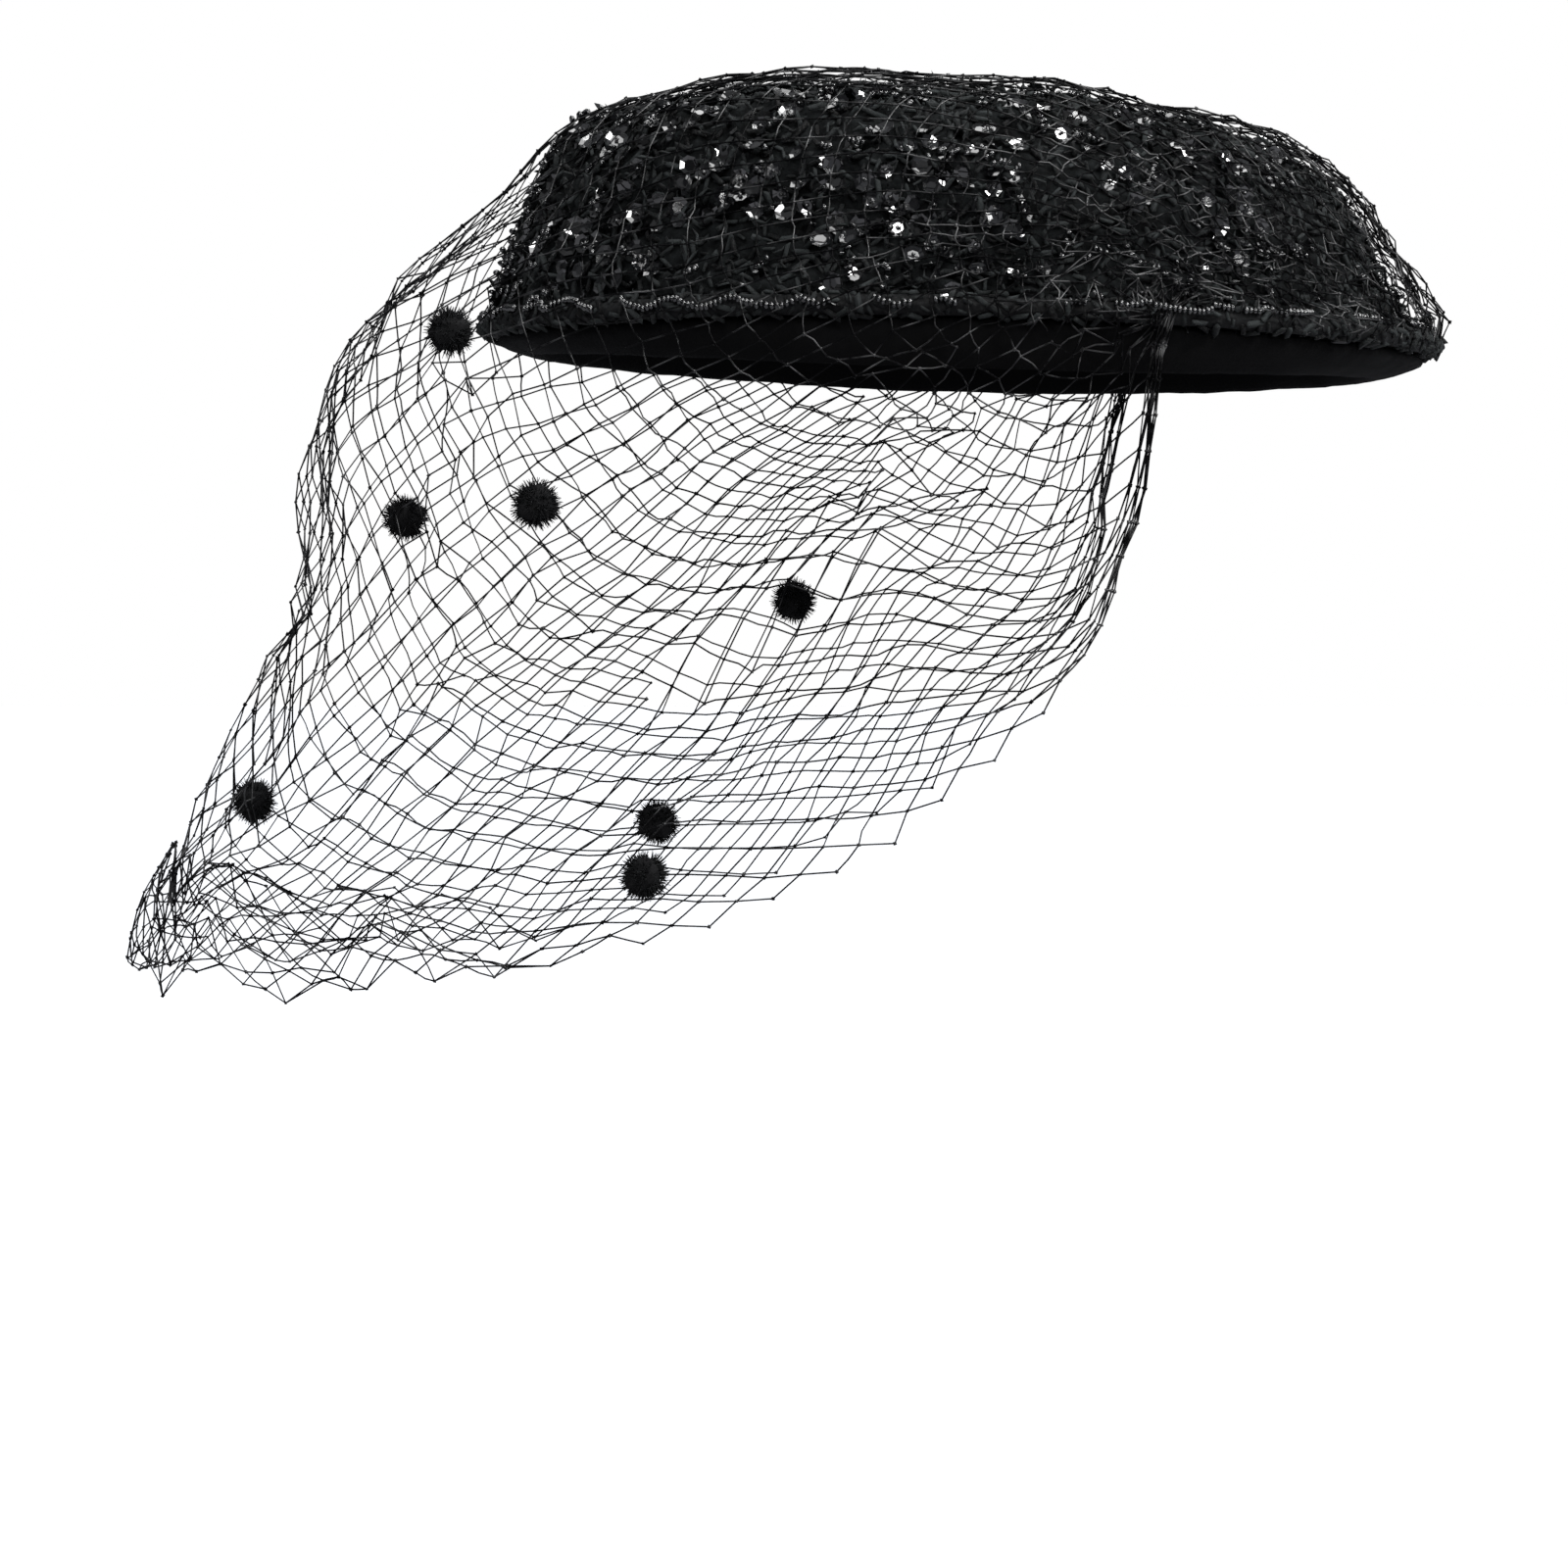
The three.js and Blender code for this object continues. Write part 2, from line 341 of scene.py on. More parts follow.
def addGrain(tree, grain, mottle):
    place = addNode(tree, "ShaderNodeTexCoord").outputs["Object"]
    cloth = addNode(
        tree, "ShaderNodeGroup", node_tree=clothGrain, Vector=place, Grain=grain, Mottle=mottle,
    )
    return place, cloth.outputs["Height"], cloth.outputs["Mask"]


def addTint(tree, shader, mask, dark, light):
    tint = addNode(
        tree, "ShaderNodeGroup", node_tree=tintBetween, Mask=mask, Dark=(*dark, 1), Light=(*light, 1),
    )
    tree.links.new(tint.outputs["Color"], shader.inputs["Base Color"])
    return tint.outputs["Spread"]


def addRelief(tree, shader, strength, **values):
    relief = addNode(tree, "ShaderNodeBump", Strength=strength, **values).outputs["Normal"]
    tree.links.new(relief, shader.inputs["Normal"])
    return relief


def spreadInto(tree, mask, socket, low, high, start=0.0):
    # a mask from its start to one becomes values from low to high
    spread = addNode(tree, "ShaderNodeMapRange", Value=mask, From_Min=start, To_Min=low, To_Max=high)
    tree.links.new(spread.outputs["Result"], socket)


def clothMaterial(
    name, dark, light, grain, mottle, bump, rough, sheen, ribs=None, gloss=0.16, tinted=False,
):
    # dyed cloth: mottled colour, fibre bump, optional ribs or knit cells, and sheen
    material, tree, shader = shaderMaterial(
        name, Specular_IOR_Level=gloss, Sheen_Weight=sheen, Sheen_Roughness=0.4,
        Sheen_Tint=(0.5, 0.56, 0.6, 1),
    )
    place, height, mask = addGrain(tree, grain, mottle)
    if tinted:
        # a stitch's tint is its own random dye; the crown cloth's tint is its relief height, painted
        # shade in the hollows and painted light on the tops
        own = addNode(tree, "ShaderNodeAttribute", attribute_name="tint")
        both = addNode(tree, "ShaderNodeMix", Factor=0.45)
        tree.links.new(mask, both.inputs[2])
        tree.links.new(own.outputs["Fac"], both.inputs[3])
        mask = both.outputs[0]
    spread = addTint(tree, shader, mask, dark, light)
    spreadInto(tree, spread, shader.inputs["Roughness"], *rough)
    relief = addRelief(tree, shader, 0.7, Distance=bump, Height=height)
    if ribs:
        scale, deep = ribs
        cells = addNode(tree, "ShaderNodeTexVoronoi", feature="SMOOTH_F1", Vector=place, Scale=scale)
        cellHeight = cells.outputs["Distance"]
        addRelief(tree, shader, 0.9, invert=True, Distance=deep, Height=cellHeight, Normal=relief)
    return material


def glossMaterial(name, dark, light, rough, coat):
    # plastic or glass trim: every copy has its own tint and polish, and fine scratches
    material, tree, shader = shaderMaterial(
        name, Specular_IOR_Level=0.9, Coat_Weight=coat, Coat_Roughness=0.06,
    )
    own = addNode(tree, "ShaderNodeAttribute", attribute_name="tint")
    addTint(tree, shader, own.outputs["Fac"], dark, light)
    _, height, mask = addGrain(tree, grain=1400.0, mottle=260.0)
    spreadInto(tree, mask, shader.inputs["Roughness"], *rough)
    addRelief(tree, shader, 0.35, Distance=0.00003, Height=height)
    return material


def softCopy(node, plan):
    # a finer copy of a CAD solid, with the softness of cloth pulled over it
    bm = bmesh.new()
    bm.from_mesh(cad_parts[node].data)
    bmesh.ops.remove_doubles(bm, verts=bm.verts, dist=1e-6)
    bmesh.ops.join_triangles(bm, faces=bm.faces, angle_face_threshold=0.6, angle_shape_threshold=0.8)
    bmesh.ops.subdivide_edges(bm, edges=bm.edges, cuts=plan["cuts"], use_grid_fill=True)
    axes = dict(use_axis_x=True, use_axis_y=True, use_axis_z=True)
    for _ in range(2):
        bmesh.ops.smooth_vert(bm, verts=bm.verts, factor=0.4, **axes)
    bm.normal_update()
    # the relief's height is also kept as the vertex tint: where a material reads it, the tops are painted
    # lighter and the hollows painted darker, painted shade
    height = bm.verts.layers.float.new("tint")
    moves = []
    for vertex in bm.verts:
        amount = 0.0
        for size, share in plan["waves"]:
            amount += share * noise.noise(vertex.co * size)
        vertex[height] = 0.5 + 0.5 * amount
        moves.append(vertex.normal * amount * plan["relief"])
    # the whole wall swells a little, less towards its hem, and sinks to leave room for what is sewn on it
    deep, scale = plan["swell"]
    hem, hemHigh = plan["hem"]
    for vertex, move in zip(bm.verts, moves):
        amount = deep * (noise.noise(vertex.co * scale) - np.interp(vertex.co.z, *plan["sunk"]))
        amount *= min(max((vertex.co.z - hem) / hemHigh, 0), 1)
        vertex.co += move + vertex.co.normalized() * amount
    bmesh.ops.recalc_face_normals(bm, faces=bm.faces)
    return bm


# the crown's cloth takes its relief as tint: painted shade in its hollows, painted light on its tops
braidCloth = clothMaterial(
    "blackBraid", dark=(0.0002, 0.0002, 0.0003), light=(0.0075, 0.0086, 0.0088), grain=1700, mottle=900,
    bump=0.0006, rough=(0.6, 0.9), sheen=0.003, gloss=0.05, tinted=True,
)
velvetCloth = clothMaterial(
    "blackVelvet", dark=(0.0005, 0.0005, 0.0006), light=(0.0022, 0.0022, 0.0024), grain=1900, mottle=120,
    bump=0.0003, rough=(0.8, 0.98), sheen=0.012, gloss=0.08,
)
rollCloth = clothMaterial(
    "blackRollCloth", dark=(0.0012, 0.0012, 0.0014), light=(0.006, 0.0065, 0.0068), grain=1700,
    mottle=150, bump=0.0003, rough=(0.6, 0.85), sheen=0.02, ribs=(900, 0.0005),
)

plainPlan = {
    "cuts": 2,
    "swell": (0, 1),  # depth and scale
    "hem": (0.012, 0.012),  # where the swelling starts, and over what height it grows
    "sunk": ((0, 1), (0, 0)),  # by height, the share of the swell by which the wall sinks
}
crownPlan = {
    "cuts": 5,
    "relief": 0.0013,
    "waves": ((330, 1.0), (700, 0.8)),
    "swell": (0.0026, 48),
    "hem": (0.012, 0.012),
    "sunk": ((0.033, 0.050), (0.0, 1.4)),
    "trimFrom": 0.004,  # stitches and sequins cover it from this height up, inside too
}
rollClothPlan = dict(plainPlan, relief=0.0003, waves=((260, 1.0), (1100, 0.6)))
bandPlan = dict(plainPlan, relief=0.00025, waves=((120, 1.0), (700, 0.5)))


def addCloth(name, node, material, plan):
    piece = newPiece(name, meshFromBmesh(name, softCopy(node, plan)), material)
    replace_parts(piece, node)
    return piece


crownCloth = addCloth("crownCloth", "crown", braidCloth, crownPlan)
rollPiece = addCloth("rimRollCloth", "rim_roll", rollCloth, rollClothPlan)
bandPiece = addCloth("headBandVelvet", "head_band", velvetCloth, bandPlan)
print("cloth pieces:", [len(p.data.polygons) for p in (crownCloth, rollPiece, bandPiece)])

netPlan = {
    "heart": (0, -0.020, -0.010),  # every ray to the veil starts here
    "castFrom": 0.4,  # how far out those rays are cast from
    "bar": 0.0064,
    "slack": 0.86,  # a bar's ends draw in to this share of it
    "slackNear": 0.25,  # and to this share close to the gathers
    "ease": 0.93,  # how far the net is drawn out as it is laid
    "rows": 88,  # half diamonds from the hem to the back, in eights
    "fanReach": 4.2,  # how near the fan of rows comes to the gathers
    "fanSteps": (241, 301),
    "flattest": 0.985,  # half width of the flattest diamond laid, in bars
    "widest": 1.7,  # widest half diamond, in bars
    "gatherAzimuth": 123.8,
    "gather": (0.033, 0.0095),  # its place along and up the side of the hat
    "gatherSpread": 0.0035,
    "gatherStack": (0.0003, 0.0012),  # how far off the cloth its threads are sewn
    "sideCast": 0.2,  # how far out the sewn and tucked edges are cast from
    "openTall": 0.80,  # least height and width of a diamond, in bars
    "openWide": 0.55,
    "gatherLoose": (0.030, 0.110),  # diamonds close up from this far out to this near the gather
    "evening": (0.3, 0.06),  # how strongly knots share out the room, near the gather and far
    "hemHold": (0.3, 0.01, 0.03),  # pull on the hem's knots, and how far from the gathers it grows
    "hold": (0.25, 0.1),  # pull towards the veil's form, then in the last steps
    "openUntil": 60,  # steps left when diamonds are no longer opened
    "holdUntil": 20,  # and when the hem is let go and the pull weakens
    "merged": ((2, 0.034, 16), (4, 0.017, 40)),  # rows drawn as one, how far out, and from which row
    "mergeRagged": 3.5,  # how unevenly that stops, in columns
    "rope": (18, 44, 0.085, 0.0036),  # rows bunched up, rows affected, length and width
    "ropeLoose": 0.0012,
    "ropeSlack": 0.1,  # its bars draw in to this share
    "ropeSteps": 60,
    "turnUp": 4.3,  # degrees of hem turned up in front, and where that ends
    "turnUpSides": (34, 50),
    "turnUpGap": 0.0018,
    "backRise": (123, 10),  # behind this azimuth the net's edge is no lower than this elevation
    "backEdge": 0.0050,  # height of the back edge, low on the roll
    "backOff": 0.0003,
    "ripple": (0.0022, 14, 0.0012, 38),  # depth and scale of the broad waves, then of the fine ones
    "rippleRises": (5, 25, 0.35),  # they fade from here up, over this height, to this share
    "crumple": (0.0075, 62, 0.0015),  # depth and scale of the creases, and the jitter on them
    "crumpleTurns": (38, 75),  # azimuths and elevations over which the creases fade
    "crumpleRises": (5, 30),
    "crumpleFade": (0.3, 0.75),  # what is left of them at the sides, and what is lost higher up
    "crumpleSlack": 0.8,
    "crumpleSteps": 7,
    "dotSeat": 0.0024,  # how near a dot's middle its knot comes
    "dotReach": 0.012,  # and how far that pull spreads
    "clear": 0.0010,  # least room between the net and the hat's cloth
    "float": 0.0044,  # and its usual room over the crown
    "onCrown": (0.003, 0.007),  # the net lies on the crown where it is less than this above it
    "threadRadius": 0.00015,
    "threadSag": 0.12,
    "knotRadius": 0.00042,
    "knotSizes": (0.85, 1.2),
    "steps": 2500,
    "quickSteps": 1500,
}
dotNames = sorted(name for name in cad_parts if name.startswith("dot_"))
heart = Vector(netPlan["heart"])
turnStep, riseStep = 2.0, 0.5
turnGrid = np.arange(-180, 181, turnStep)
riseGrid = np.arange(-60, 90.1, riseStep)


def rayWay(turn, rise):
    return Vector((
        math.sin(turn) * math.cos(rise),
        -math.cos(turn) * math.cos(rise),
        math.sin(rise),
    ))


def gridWays():
    for i, turn in enumerate(np.radians(turnGrid)):
        for j, rise in enumerate(np.radians(riseGrid)):
            yield i, j, rayWay(turn, rise)


def reachGrid(tree):
    # how far out the solids reach from the heart, in every direction of the grid
    grid = np.full((len(turnGrid), len(riseGrid)), np.nan)
    far = netPlan["castFrom"]
    for i, j, way in gridWays():
        hit = tree.ray_cast(heart + way * far, -way, far)
        if hit[0] is not None:
            grid[i, j] = far - hit[3]
    return grid


def gridValue(grid, turn, rise):
    u = (np.degrees(turn) - turnGrid[0]) / turnStep
    v = (np.degrees(rise) - riseGrid[0]) / riseStep
    u = np.clip(u, 0, len(turnGrid) - 1.001)
    v = np.clip(v, 0, len(riseGrid) - 1.001)
    i, j = u.astype(int), v.astype(int)
    a, b = u - i, v - j
    return (
        grid[i, j] * (1 - a) * (1 - b)
        + grid[i + 1, j] * a * (1 - b)
        + grid[i, j + 1] * (1 - a) * b
        + grid[i + 1, j + 1] * a * b
    )


def hangStraight(grid):
    # below its lowest hit a column of the grid goes straight down
    lowest = np.zeros(len(turnGrid))
    for i in range(len(turnGrid)):
        hits = np.flatnonzero(~np.isnan(grid[i]))
        j = hits[0]
        lowest[i] = riseGrid[j]
        out = grid[i, j] * math.cos(math.radians(riseGrid[j]))
        grid[i, :j] = out / np.cos(np.radians(riseGrid[:j]))
        gaps = np.isnan(grid[i])
        grid[i, gaps] = np.interp(riseGrid[gaps], riseGrid[~gaps], grid[i, ~gaps])
    return np.radians(lowest)


veilReach = reachGrid(treeOf(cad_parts["veil"].data))
hemRise = hangStraight(veilReach)
cadReach = np.nan_to_num(reachGrid(treeOf(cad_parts["crown"].data)), nan=0.0)
coreTree = treeOf(crownCloth.data, rollPiece.data, bandPiece.data)
coreReach = np.nan_to_num(reachGrid(coreTree), nan=0.0)


def blurred(grid, turns, rises):
    for axis, reach in ((0, turns), (1, rises)):
        total = np.zeros_like(grid)
        for k in range(-reach, reach + 1):
            if axis == 0:
                total += np.roll(grid[:-1], k, axis=0)[np.arange(len(grid)) % (len(grid) - 1)]
            else:
                index = np.clip(np.arange(grid.shape[1]) + k, 0, grid.shape[1] - 1)
                total += grid[:, index]
        grid = total / (2 * reach + 1)
    return grid


veilReach = blurred(veilReach, 1, 4)
backTurn, backRise = netPlan["backRise"]
hemRise = np.where(np.abs(turnGrid) > backTurn, np.maximum(hemRise, math.radians(backRise)), hemRise)


def rippleGrid(plan):
    # soft unevenness of hanging net, less where it lies over the crown
    grid = np.zeros_like(veilReach)
    deep, broad, shallow, fine = plan["ripple"]
    for i, j, way in gridWays():
        grid[i, j] = deep * noise.noise(way * broad) + shallow * noise.noise(way * fine)
    first, over, least = plan["rippleRises"]
    hanging = np.clip(1 - (riseGrid - first) / over, least, 1)
    return grid * hanging[None, :]


def smoothStep(low, high, value):
    share = np.clip((value - low) / (high - low), 0, 1)
    return share * share * (3 - 2 * share)


def cutEdge(turn):
    # elevation of the net's cut edge before its front is turned up
    degrees = np.degrees(turn)
    front = 1 - smoothStep(*netPlan["turnUpSides"], np.abs(degrees))
    return np.interp(degrees, turnGrid, hemRise) - math.radians(netPlan["turnUp"]) * front


# where the veil lies on the crown it floats just above the softened cloth
offCrown = smoothStep(*netPlan["onCrown"], veilReach - cadReach)
veilReach = offCrown * veilReach + (1 - offCrown) * (coreReach + netPlan["float"])
veilReach += rippleGrid(netPlan)


def spherical(points):
    away = points - np.array(heart)
    reach = np.linalg.norm(away, axis=-1)
    turn = np.arctan2(away[..., 0], -away[..., 1])
    rise = np.arcsin(np.clip(away[..., 2] / reach, -1, 1))
    return turn, rise, reach


def placed(turn, rise, reach):
    return np.stack([
        np.sin(turn) * np.cos(rise) * reach + heart[0],
        -np.cos(turn) * np.cos(rise) * reach + heart[1],
        np.sin(rise) * reach + heart[2],
    ], axis=-1)


def onDisc(flat):
    # a point of the unit disc, front at -Y, to the veil: the middle is its peak, the rim its hem
    share = np.clip(np.abs(flat), 0, 1)
    turn = np.arctan2(flat.real, -flat.imag)
    rise = math.pi / 2 - share * (math.pi / 2 - cutEdge(turn))
    return placed(turn, rise, gridValue(veilReach, turn, rise))


def fanSheet(across, along):
    # the disc as a fan: along runs from one gather to the other, across from the hem to the back
    g = math.radians(netPlan["gatherAzimuth"])
    right = complex(math.sin(g), -math.cos(g))
    left = complex(-math.sin(g), -math.cos(g))
    lean = (complex(0, -1) - right) / (complex(0, -1) - left)
    w = np.exp(-along) * np.exp(1j * (np.angle(lean) + np.sign(np.angle(lean)) * math.pi * across))
    return onDisc((right - w * left) / (1 - w))


def stepLengths(points, axis):
    return np.linalg.norm(np.diff(points, axis=axis), axis=-1)


def pathLength(points):
    return np.concatenate([[0], np.cumsum(stepLengths(points, 0))])


def placesAlong(wanted, run, line):
    return np.stack([np.interp(wanted, run, line[:, axis]) for axis in range(3)], axis=1)


def layNet(plan):
    # columns are spaced so that diamonds with sides of one bar fill each of them with the same rows
    bar, rows = plan["bar"] * plan["ease"], plan["rows"]
    acrossSteps, alongSteps = plan["fanSteps"]
    acrossFine = np.linspace(0, 1, acrossSteps)
    alongFine = np.linspace(0, plan["fanReach"], alongSteps)
    sheet = fanSheet(acrossFine[:, None], alongFine[None, :])
    wide = stepLengths(sheet, 1) / (alongFine[1] - alongFine[0])
    wide = (wide[1:] + wide[:-1]) / 2
    tall = stepLengths(sheet, 0)
    marks, columnRows = [0.0], []
    while marks[-1] < plan["fanReach"]:
        k = min(int(marks[-1] / (alongFine[1] - alongFine[0])), wide.shape[1] - 1)
        lowStep, highStep = 1e-4, 2.0
        for _ in range(40):
            step = (lowStep + highStep) / 2
            half = np.minimum(wide[:, k] * step, bar * plan["flattest"])
            count = (tall[:, k] / np.sqrt(bar ** 2 - half ** 2)).sum()
            if count < rows and (wide[:, k] * step).max() < bar * plan["widest"]:
                lowStep = step
            else:
                highStep = step
        columnRows.append(np.sqrt(bar ** 2 - half ** 2))
        marks.append(marks[-1] + step)
    half = len(marks) - 2
    print("net: columns on each side", half)
    grid = np.zeros((rows + 1, 2 * half + 1, 3))
    for i in range(half + 1):
        line = fanSheet(acrossFine, np.full(acrossFine.shape, marks[i]))
        run = np.concatenate([[0], np.cumsum(stepLengths(line, 0) / columnRows[i])])
        grid[:, half + i] = placesAlong(np.linspace(0, run[-1], rows + 1), run, line)
        grid[:, half - i] = grid[:, half + i] * np.array([-1, 1, 1])
    return grid


def netEdges(rows, columns):
    ids = -np.ones((rows + 1, columns + 1), int)
    j, i = np.meshgrid(np.arange(rows + 1), np.arange(columns + 1), indexing="ij")
    knots = (i + j) % 2 == 0
    ids[knots] = np.arange(knots.sum())
    sets = []
    for lean in (1, -1):
        for parity in (0, 1):
            low = knots & (j % 2 == parity) & (j < rows) & (i + lean >= 0) & (i + lean <= columns)
            a = ids[low]
            b = ids[j[low] + 1, i[low] + lean]
            sets.append((a, b))
    return knots, ids, j[knots], i[knots], sets


def diagonalSets(ids, knots):
    # knots straight above and beside each other, in sets that share no knot
    sets = []
    for up, over in ((2, 0), (0, 2)):
        low = knots[:knots.shape[0] - up, :knots.shape[1] - over]
        j, i = np.nonzero(low)
        for phase in (0, 1):
            part = ((j // 2 if up else i // 2) % 2) == phase
            sets.append((up > 0, ids[j[part], i[part]], ids[j[part] + up, i[part] + over]))
    return sets


def tuckLine(plan):
    # the line under the back of the roll where the last row is caught, by turn from the back
    turns = np.radians(np.arange(-90, 91, 2))
    places = []
    for turn in turns:
        way = Vector((math.sin(turn), math.cos(turn), 0))
        start = Vector((0, 0, plan["backEdge"])) + way * plan["sideCast"]
        hit = coreTree.ray_cast(start, -way, plan["sideCast"])
        places.append(hit[0] + way * plan["backOff"])
    return turns, np.array([tuple(place) for place in places])


def sewDown(points, sewn, share, side, plan):
    # one short edge of the net is caught in a small tuft on the side of the hat
    gatherY, gatherZ = plan["gather"]
    lean = 2 * math.pi * share[sewn]
    out = plan["gatherSpread"] * np.sqrt(rng.uniform(0.15, 1, sewn.sum()))
    points[sewn, 1] = gatherY + out * np.cos(lean)
    points[sewn, 2] = gatherZ - out * 0.7 * np.sin(lean)
    for k in np.flatnonzero(sewn):
        start = Vector((side * plan["sideCast"], points[k, 1], points[k, 2]))
        hit = coreTree.ray_cast(start, Vector((-side, 0, 0)), plan["sideCast"])
        points[k, 0] = hit[0].x + side * rng.uniform(*plan["gatherStack"])


def drawTogether(points, free, a, b, gap, share):
    # a negative share pushes apart
    load = free[a] + free[b]
    pull = gap * (share / np.maximum(load, 1))[:, None]
    points[a] += pull * free[a][:, None]
    points[b] -= pull * free[b][:, None]


def drawBars(points, free, sets, shortest, longest):
    for a, b in sets:
        gap = points[b] - points[a]
        size = np.maximum(np.linalg.norm(gap, axis=1), 1e-6)
        wanted = np.clip(size, np.minimum(shortest[a], shortest[b]), longest)
        drawTogether(points, free, a, b, gap, (size - wanted) / size)


def openDiamonds(points, free, spans, openings, stiff):
    for upright, a, b in spans:
        gap = points[b] - points[a]
        size = np.linalg.norm(gap, axis=1)
        short = np.clip(openings[upright] - size, 0, None) / size
        drawTogether(points, free, a, b, gap, -0.25 * short * np.minimum(stiff[a], stiff[b]))


def evenSets(ids, knots):
    # every knot with the ones before and after it in its column, then in its row
    j, i = np.nonzero(knots[2:-2])
    sets = [(ids[j + 2, i], ids[j, i], ids[j + 4, i])]
    j, i = np.nonzero(knots[:, 2:-2])
    sets.append((ids[j, i + 2], ids[j, i], ids[j, i + 4]))
    return sets


def keptClear(points, free, plan):
    # no free knot sinks into the hat's cloth
    turn, rise, reach = spherical(points)
    core = gridValue(coreReach, turn, rise) + plan["clear"]
    return placed(turn, rise, np.where(free > 0, np.maximum(reach, core), reach))


def settled(points, free, sets, shortest, steps, plan):
    for _ in range(steps):
        drawBars(points, free, sets, shortest, plan["bar"])
        points = keptClear(points, free, plan)
    return points


def crumpled(points, free, sets, shortest, plan):
    # hanging net is springy and never lies quite smooth, least of all in front
    turn, rise, reach = spherical(points)
    front = 1 - smoothStep(*np.radians(plan["crumpleTurns"]), np.abs(turn))
    side, calm = plan["crumpleFade"]
    lowDown = 1 - calm * smoothStep(*np.radians(plan["crumpleRises"]), rise)
    loose = (side + (1 - side) * front) * lowDown
    broad, scale, fine = plan["crumple"]
    field = np.array([tuple(noise.noise_vector(Vector(p) * scale)) for p in points])
    move = field * broad + rng.normal(size=points.shape) * fine
    points = points + move * (loose * free)[:, None]
    return settled(points, free, sets, shortest * plan["crumpleSlack"], plan["crumpleSteps"], plan)


def bunched(points, rowOf, columnOf, gathers, plan):
    # behind each gather the edge of the net is bunched up into a loose rope
    ropeRows, lastRow, ropeLong, ropeWide = plan["rope"]
    points = points.copy()
    for column in np.unique(columnOf):
        line = np.flatnonzero(columnOf == column)
        line = line[np.argsort(rowOf[line])]
        line = line[rowOf[line] <= lastRow]
        away = np.linalg.norm(gathers - points[line[0]], axis=1).min()
        taper = 1 - away / ropeLong
        if taper <= 0.02:
            continue
        rows = rowOf[line]
        bunch = ropeRows * taper ** 0.7
        run = pathLength(points[line])
        ropeEnd = np.interp(bunch, rows, run)
        wide = min(ropeWide * (0.4 + 0.6 * taper), ropeEnd)
        beyond = wide + (run - ropeEnd) * (run[-1] - wide) / max(run[-1] - ropeEnd, 1e-6)
        wanted = np.where(rows < bunch, wide * rows / bunch, beyond)
        moved = placesAlong(wanted, run, points[line])
        moved += rng.normal(size=moved.shape) * plan["ropeLoose"] * (rows < bunch)[:, None]
        points[line] = moved
    return points


def caughtByDots(points, free, plan):
    # the net is drawn out to every dot that is stuck on it
    for name in dotNames:
        low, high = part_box(name)
        centre = np.array((low + high) / 2)
        away = np.linalg.norm(points - centre, axis=1)
        nearest = points[away.argmin()]
        pull = (centre - nearest) * max(1 - plan["dotSeat"] / away.min(), 0)
        held = np.exp(-(np.linalg.norm(points - nearest, axis=1) / plan["dotReach"]) ** 2)
        points = points + pull * (held * free)[:, None]
    return points


def drawnBars(points, knots, nearGather, plan):
    # the places of the whole grid, and the bars between them, one to a cell
    rows, columns = knots.shape[0] - 1, knots.shape[1] - 1
    whole = np.zeros((rows + 1, columns + 1, 3))
    whole[knots] = points
    between = ~knots[1:-1]
    whole[1:-1][between] = ((whole[:-2] + whole[2:]) / 2)[between]
    away = np.full(knots.shape, np.nan)
    away[knots] = nearGather
    away = np.nanmedian(away, axis=0)
    # next to the gathers several closed rows are drawn as one open row
    merge = np.ones((rows, columns), int)
    inwards = np.minimum(np.arange(columns), np.arange(columns)[::-1])
    for span, reach, firstRow in plan["merged"]:
        width = (away[:columns // 2] < reach).sum()
        for first in range(firstRow, rows, 2 * span):
            ragged = 2 * round((width + rng.normal() * plan["mergeRagged"]) / 2)
            merge[first:first + 2 * span, inwards < ragged] = span
    row, gap = np.meshgrid(np.arange(rows), np.arange(columns), indexing="ij")
    starts, ends = [], []
    for span in np.unique(merge):
        drawn = (merge == span) & (row % span == 0)
        leansBack = (row // span + gap) % 2
        lower, left, back = row[drawn], gap[drawn], leansBack[drawn]
        starts.append(lower * (columns + 1) + left + back)
        ends.append((lower + span) * (columns + 1) + left + 1 - back)
    points, a, b = whole.reshape(-1, 3), np.concatenate(starts), np.concatenate(ends)
    size = np.linalg.norm(points[a] - points[b], axis=1)
    print("net: bars from", size.min().round(5), "to", size.max().round(5), "mean", size.mean().round(5))
    return points, a, b


def gatherDistance(points, gathers):
    return np.minimum(*(np.linalg.norm(points - gather, axis=1) for gather in gathers))


def hungOnVeil(points, free, tucked, hem, hemHold, sets, knotSets, shortest, stiff, plan):
    # the laid net pulls itself even, bar by bar, while it keeps to the veil's form
    spans, evening = knotSets
    openings = {True: plan["bar"] * plan["openTall"], False: plan["bar"] * plan["openWide"]}
    tuck = tuckLine(plan)
    early, late = plan["hold"]
    moving = free * ~tucked
    steps = plan["steps"]
    for step in range(steps):
        drawBars(points, free, sets, shortest, plan["bar"])
        if step < steps - plan["openUntil"]:
            openDiamonds(points, free, spans, openings, stiff)
            for middle, before, after, share in evening:
                points[middle] += share * ((points[before] + points[after]) / 2 - points[middle])
        back = np.arctan2(points[tucked, 0], points[tucked, 1])
        points[tucked] = placesAlong(back, *tuck)
        turn, rise, reach = spherical(points)
        held = step < steps - plan["holdUntil"]
        if held:
            rise[hem] += hemHold * (cutEdge(turn[hem]) - rise[hem])
        target = gridValue(veilReach, turn, rise)
        core = gridValue(coreReach, turn, rise) + plan["clear"]
        reach = reach + moving * (early if held else late) * (target - reach)
        reach = np.where(moving > 0, np.maximum(reach, core), reach)
        points = placed(turn, rise, reach)
    return points


